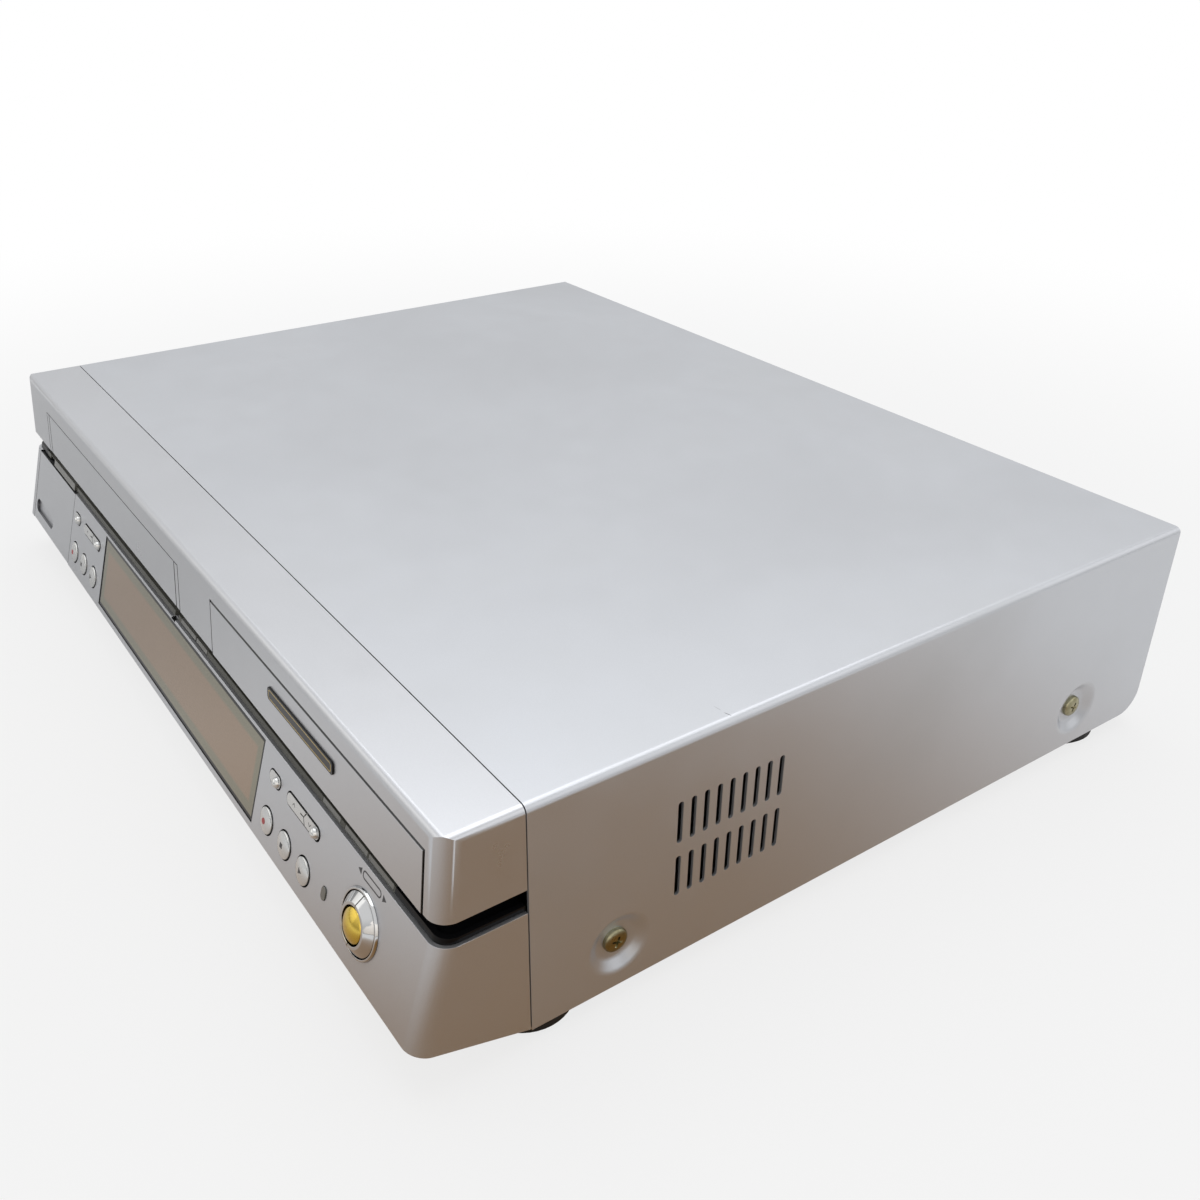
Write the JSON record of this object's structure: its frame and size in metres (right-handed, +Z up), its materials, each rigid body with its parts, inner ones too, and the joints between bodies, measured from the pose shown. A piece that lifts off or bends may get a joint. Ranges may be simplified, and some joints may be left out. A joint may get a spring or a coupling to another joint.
{
  "type": "dvd vcr combo player",
  "caption": "Silver disc recorder and video cassette recorder in one cabinet, with a sliding disc tray, a hinged cassette door and a front input flap.",
  "frame": {"origin": "on the table, under the middle of the whole machine", "axes": "+X to the right seen from the front, -Y towards the user, +Z up"},
  "size_m": [0.43, 0.3444, 0.089],
  "materials": {
    "cover_silver": "fine satin metallic paint",
    "front_silver": "silver painted plastic, satin",
    "gap_black": "polished black",
    "window_smoke": "smoked and polished",
    "key_grey": "dark grey, glossy",
    "button_silver": "silver painted, glossy",
    "bezel_chrome": "polished plating",
    "gold_cap": "metallic gold",
    "lens_grey": "translucent grey",
    "black_plastic": "fine textured",
    "badge_black": "polished",
    "tray_plastic": "fine texture",
    "white_plastic": "natural",
    "galvanised": "galvanised sheet",
    "chassis_steel": "zinc coated sheet",
    "screw_zinc": "yellow passivated",
    "bright_steel": "ground",
    "drum_alloy": "machined",
    "board_green": "solder mask",
    "board_tan": "paper laminate",
    "core_iron": "varnished laminations",
    "tube_glass": "dark glass",
    "rubber_black": "matt"
  },
  "bodies": {
    "cabinet": {"chassis_pan": "chassis_steel", "rear_panel": "galvanised", "top_cover": "cover_silver", "cover_screws": "screw_zinc", "feet": "rubber_black", "front_upper_panel": "front_silver", "front_gap_strip": "gap_black", "front_lower_panel": "front_silver", "display_window": "window_smoke", "display_tube": "tube_glass", "operation_board": "board_green", "dial_bezel": "bezel_chrome", "indicator_lenses": "lens_grey", "front_jacks": "black_plastic", "main_board": "board_green", "power_board": "board_tan", "power_transformer": "core_iron", "tuner_box": "galvanised", "jack_block": "black_plastic", "av_sockets": "bright_steel", "mains_inlet": "black_plastic", "fan_frame": "black_plastic", "deck_chassis": "chassis_steel", "deck_side_frame": "galvanised", "lower_drum": "drum_alloy", "drive_case": "galvanised", "drive_base": "black_plastic", "guide_rods": "bright_steel", "spindle_motor": "galvanised"},
    "tray": {"disc_tray": "tray_plastic", "tray_front": "front_silver", "badge_plate": "badge_black"},
    "vhs_door_body": {"vhs_door": "front_silver"},
    "tray_gear_body": {"tray_gear": "white_plastic"},
    "pulley_gear_body": {"pulley_gear": "white_plastic"},
    "turntable_body": {"turntable": "black_plastic"},
    "laser_sled_body": {"laser_sled": "black_plastic"},
    "upper_drum_body": {"upper_drum": "drum_alloy"},
    "capstan_flywheel_body": {"capstan_flywheel": "drum_alloy"},
    "supply_reel_body": {"supply_reel": "white_plastic"},
    "takeup_reel_body": {"takeup_reel": "white_plastic"},
    "cassette_holder_body": {"cassette_holder": "galvanised"},
    "fan_blades_body": {"fan_blades": "black_plastic"},
    "input_flap_body": {"input_flap": "front_silver"},
    "power_button_body": {"power_button": "key_grey"},
    "eject_button_body": {"eject_button": "key_grey"},
    "open_button_body": {"open_button": "key_grey"},
    "left_small_button_body": {"left_small_button": "button_silver"},
    "left_rocker_body": {"left_rocker": "button_silver"},
    "left_round_1_body": {"left_round_1": "button_silver"},
    "left_round_2_body": {"left_round_2": "button_silver"},
    "left_round_3_body": {"left_round_3": "button_silver"},
    "right_small_button_body": {"right_small_button": "button_silver"},
    "right_rocker_body": {"right_rocker": "button_silver"},
    "record_button_body": {"record_button": "button_silver"},
    "stop_button_body": {"stop_button": "button_silver"},
    "play_button_body": {"play_button": "button_silver"},
    "dial_left_body": {"dial_left": "bezel_chrome"},
    "dial_right_body": {"dial_right": "bezel_chrome"},
    "dial_center_body": {"dial_center": "gold_cap"}
  },
  "joints": [
    {"name": "door_swing", "type": "hinge", "parent": "cabinet", "child": "vhs_door_body", "pos_m": [0, -0.15477, 0.08337], "axis": [1, 0, 0], "range_deg": [0, 94], "stiffness_Nm_per_rad": 0.02, "springref_deg": -9.74},
    {"name": "flap_swing", "type": "hinge", "parent": "cabinet", "child": "input_flap_body", "pos_m": [0, -0.16769, 0.01887], "axis": [1, 0, 0], "range_deg": [0, 100]},
    {"name": "tray_slide", "type": "slide", "parent": "cabinet", "child": "tray", "axis": [0, -1, 0], "range_m": [0, 0.138]},
    {"name": "tray_gear_turn", "type": "hinge", "parent": "cabinet", "child": "tray_gear_body", "pos_m": [0.176, -0.12883, 0.067], "axis": [0, 0, 1], "range_deg": [-900, 0]},
    {"name": "pulley_turn", "type": "hinge", "parent": "cabinet", "child": "pulley_gear_body", "pos_m": [0.155, -0.12883, 0.063], "axis": [0, 0, 1], "range_deg": [0, 2250]},
    {"name": "disc_spin", "type": "hinge", "parent": "cabinet", "child": "turntable_body", "pos_m": [0.127, -0.08708, 0.069], "axis": [0, 0, 1], "continuous": true},
    {"name": "sled_slide", "type": "slide", "parent": "cabinet", "child": "laser_sled_body", "axis": [0, 1, 0], "range_m": [0, 0.033]},
    {"name": "drum_spin", "type": "hinge", "parent": "cabinet", "child": "upper_drum_body", "pos_m": [-0.08925, 0.07917, 0.059], "axis": [0, 0, 1], "continuous": true},
    {"name": "capstan_spin", "type": "hinge", "parent": "cabinet", "child": "capstan_flywheel_body", "pos_m": [-0.02125, 0.05717, 0.029], "axis": [0, 0, 1], "continuous": true},
    {"name": "supply_spin", "type": "hinge", "parent": "cabinet", "child": "supply_reel_body", "pos_m": [-0.12925, 0.00217, 0.039], "axis": [0, 0, 1], "continuous": true},
    {"name": "takeup_spin", "type": "hinge", "parent": "cabinet", "child": "takeup_reel_body", "pos_m": [-0.03725, 0.00217, 0.039], "axis": [0, 0, 1], "continuous": true},
    {"name": "holder_slide", "type": "slide", "parent": "cabinet", "child": "cassette_holder_body", "axis": [0, 1, 0], "range_m": [0, 0.062]},
    {"name": "fan_spin", "type": "hinge", "parent": "cabinet", "child": "fan_blades_body", "pos_m": [0.052, 0.15417, 0.0485], "axis": [0, 1, 0], "continuous": true},
    {"name": "power_press", "type": "slide", "parent": "cabinet", "child": "power_button_body", "axis": [0, 0.9951, -0.0993], "range_m": [0, 0.0008], "stiffness_N_per_m": 400},
    {"name": "eject_press", "type": "slide", "parent": "cabinet", "child": "eject_button_body", "axis": [0, 0.9951, -0.0993], "range_m": [0, 0.0008], "stiffness_N_per_m": 400},
    {"name": "open_press", "type": "slide", "parent": "cabinet", "child": "open_button_body", "axis": [0, 0.9951, -0.0993], "range_m": [0, 0.0008], "stiffness_N_per_m": 400},
    {"name": "left_small_press", "type": "slide", "parent": "cabinet", "child": "left_small_button_body", "axis": [0, 0.9578, -0.2874], "range_m": [0, 0.0008], "stiffness_N_per_m": 400},
    {"name": "left_round_1_press", "type": "slide", "parent": "cabinet", "child": "left_round_1_body", "axis": [0, 0.9578, -0.2874], "range_m": [0, 0.0008], "stiffness_N_per_m": 400},
    {"name": "left_round_2_press", "type": "slide", "parent": "cabinet", "child": "left_round_2_body", "axis": [0, 0.9578, -0.2874], "range_m": [0, 0.0008], "stiffness_N_per_m": 400},
    {"name": "left_round_3_press", "type": "slide", "parent": "cabinet", "child": "left_round_3_body", "axis": [0, 0.9578, -0.2874], "range_m": [0, 0.0008], "stiffness_N_per_m": 400},
    {"name": "right_small_press", "type": "slide", "parent": "cabinet", "child": "right_small_button_body", "axis": [0, 0.9578, -0.2874], "range_m": [0, 0.0008], "stiffness_N_per_m": 400},
    {"name": "record_press", "type": "slide", "parent": "cabinet", "child": "record_button_body", "axis": [0, 0.9578, -0.2874], "range_m": [0, 0.0008], "stiffness_N_per_m": 400},
    {"name": "stop_press", "type": "slide", "parent": "cabinet", "child": "stop_button_body", "axis": [0, 0.9578, -0.2874], "range_m": [0, 0.0008], "stiffness_N_per_m": 400},
    {"name": "play_press", "type": "slide", "parent": "cabinet", "child": "play_button_body", "axis": [0, 0.9578, -0.2874], "range_m": [0, 0.0008], "stiffness_N_per_m": 400},
    {"name": "dial_left_press", "type": "slide", "parent": "cabinet", "child": "dial_left_body", "axis": [0, 0.9578, -0.2874], "range_m": [0, 0.0008], "stiffness_N_per_m": 400},
    {"name": "dial_right_press", "type": "slide", "parent": "cabinet", "child": "dial_right_body", "axis": [0, 0.9578, -0.2874], "range_m": [0, 0.0008], "stiffness_N_per_m": 400},
    {"name": "dial_center_press", "type": "slide", "parent": "cabinet", "child": "dial_center_body", "axis": [0, 0.9578, -0.2874], "range_m": [0, 0.0008], "stiffness_N_per_m": 400},
    {"name": "left_rocker_tilt", "type": "hinge", "parent": "cabinet", "child": "left_rocker_body", "pos_m": [-0.1082, -0.16021, 0.0417], "axis": [0, 0.2874, 0.9578], "range_deg": [-3, 3], "stiffness_Nm_per_rad": 0.05},
    {"name": "right_rocker_tilt", "type": "hinge", "parent": "cabinet", "child": "right_rocker_body", "pos_m": [0.13, -0.16021, 0.0417], "axis": [0, 0.2874, 0.9578], "range_deg": [-3, 3], "stiffness_Nm_per_rad": 0.05}
  ],
  "couplings": [
    {"joint": "tray_gear_turn", "follows": "tray_slide", "rad_per_m": -111.11},
    {"joint": "pulley_turn", "follows": "tray_slide", "rad_per_m": 277.78}
  ]
}
